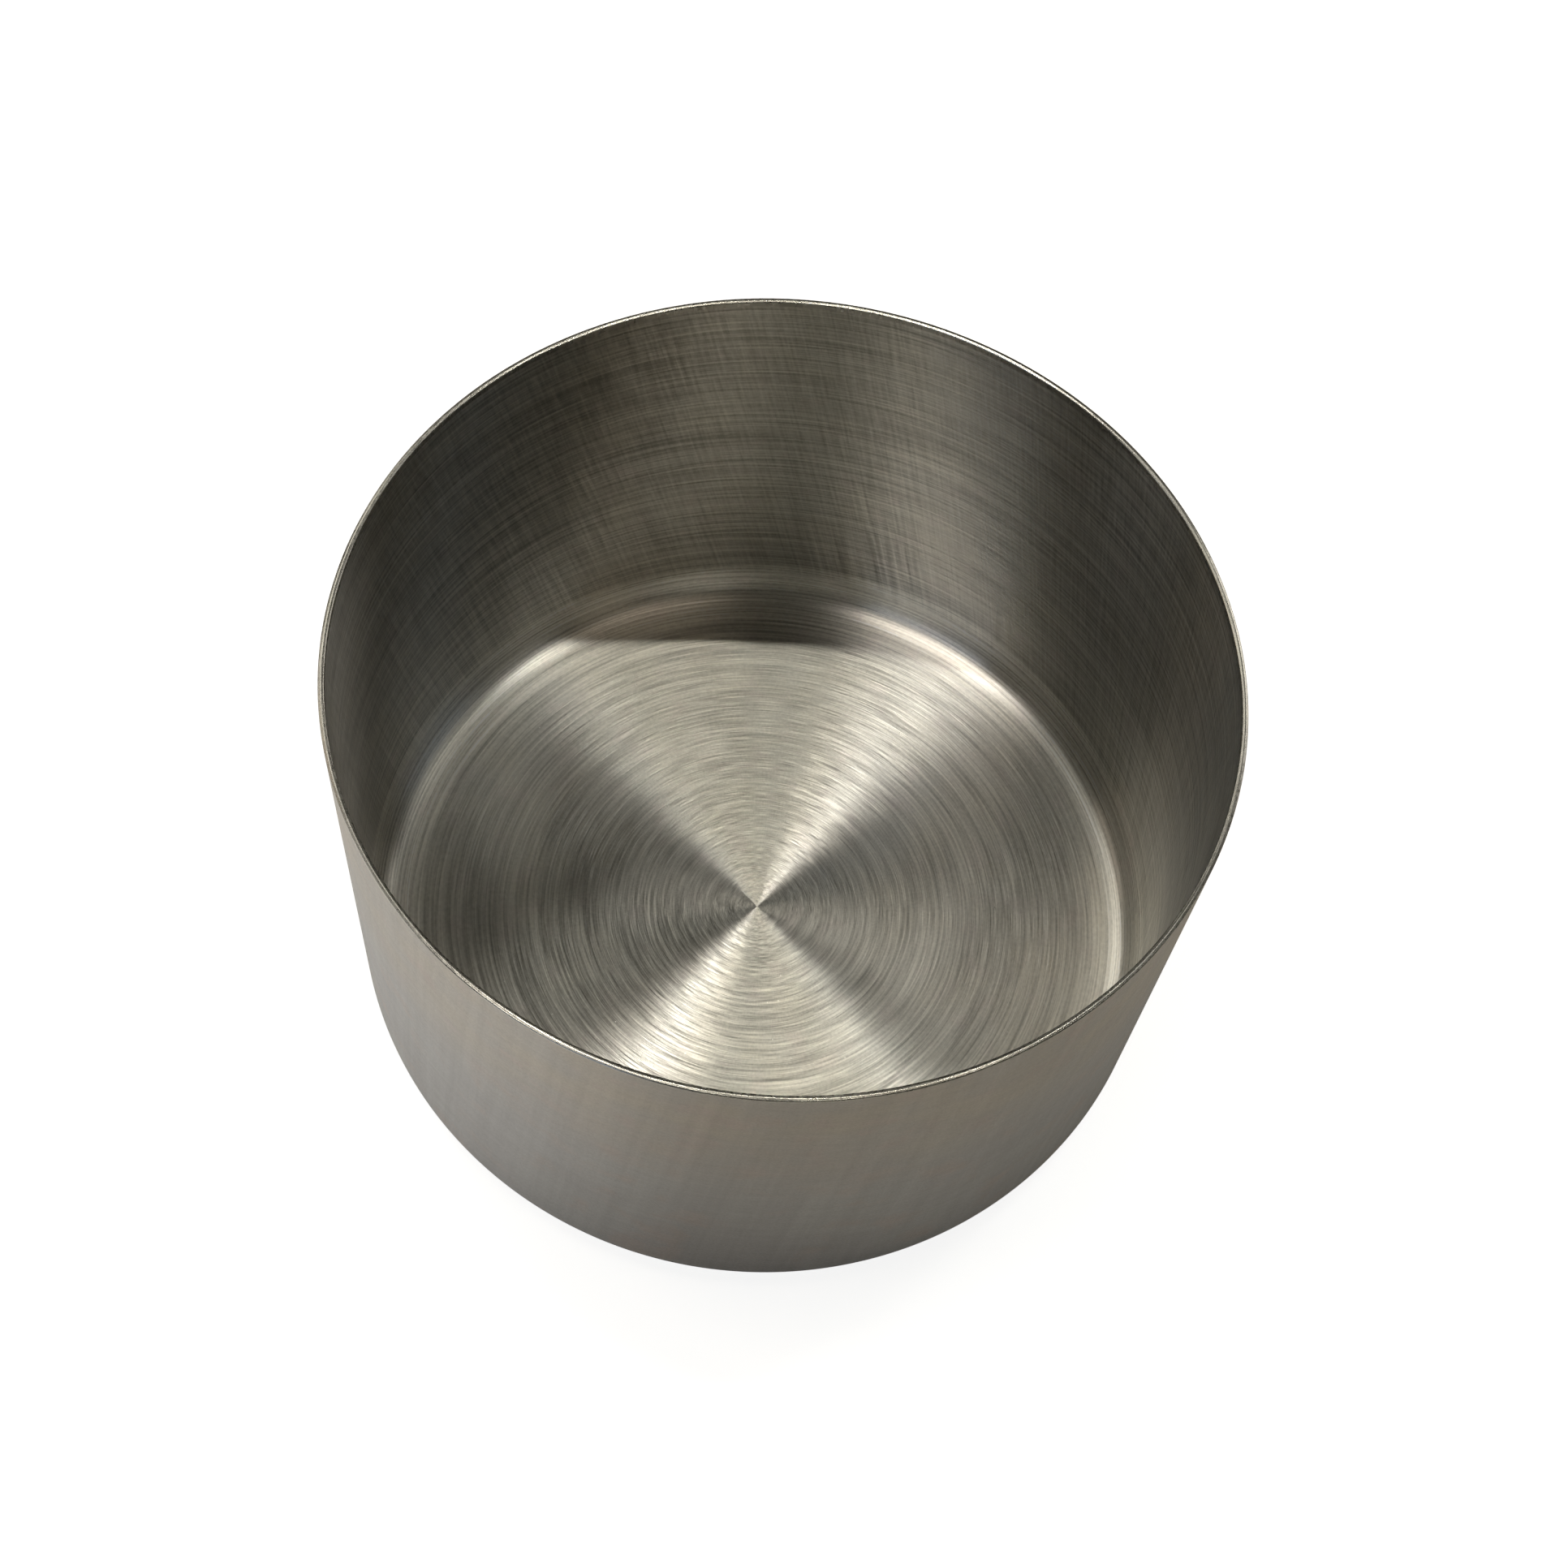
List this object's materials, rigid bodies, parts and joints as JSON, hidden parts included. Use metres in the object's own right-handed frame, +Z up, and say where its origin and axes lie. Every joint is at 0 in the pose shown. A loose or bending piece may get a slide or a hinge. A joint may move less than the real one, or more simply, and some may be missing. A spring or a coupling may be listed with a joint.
{
  "type": "candle melting pot",
  "caption": "Open straight-walled pot drawn in one piece from stainless steel, with a flat base, rounded bottom corner and plain trimmed rim, for melting wax, soap base or resin.",
  "frame": {"origin": "centre of the underside, on the surface that the pot stands on", "axes": "+Z up the pot's axis, out of its mouth; X and Y are free, because the pot is a body of revolution"},
  "size_m": [0.12, 0.12, 0.074],
  "materials": {
    "stainless_steel": "circular brushing on the floor, brushed inner wall, fine satin outer wall, turned rim"
  },
  "bodies": {
    "root": {"pot_body": "stainless_steel"}
  },
  "joints": []
}
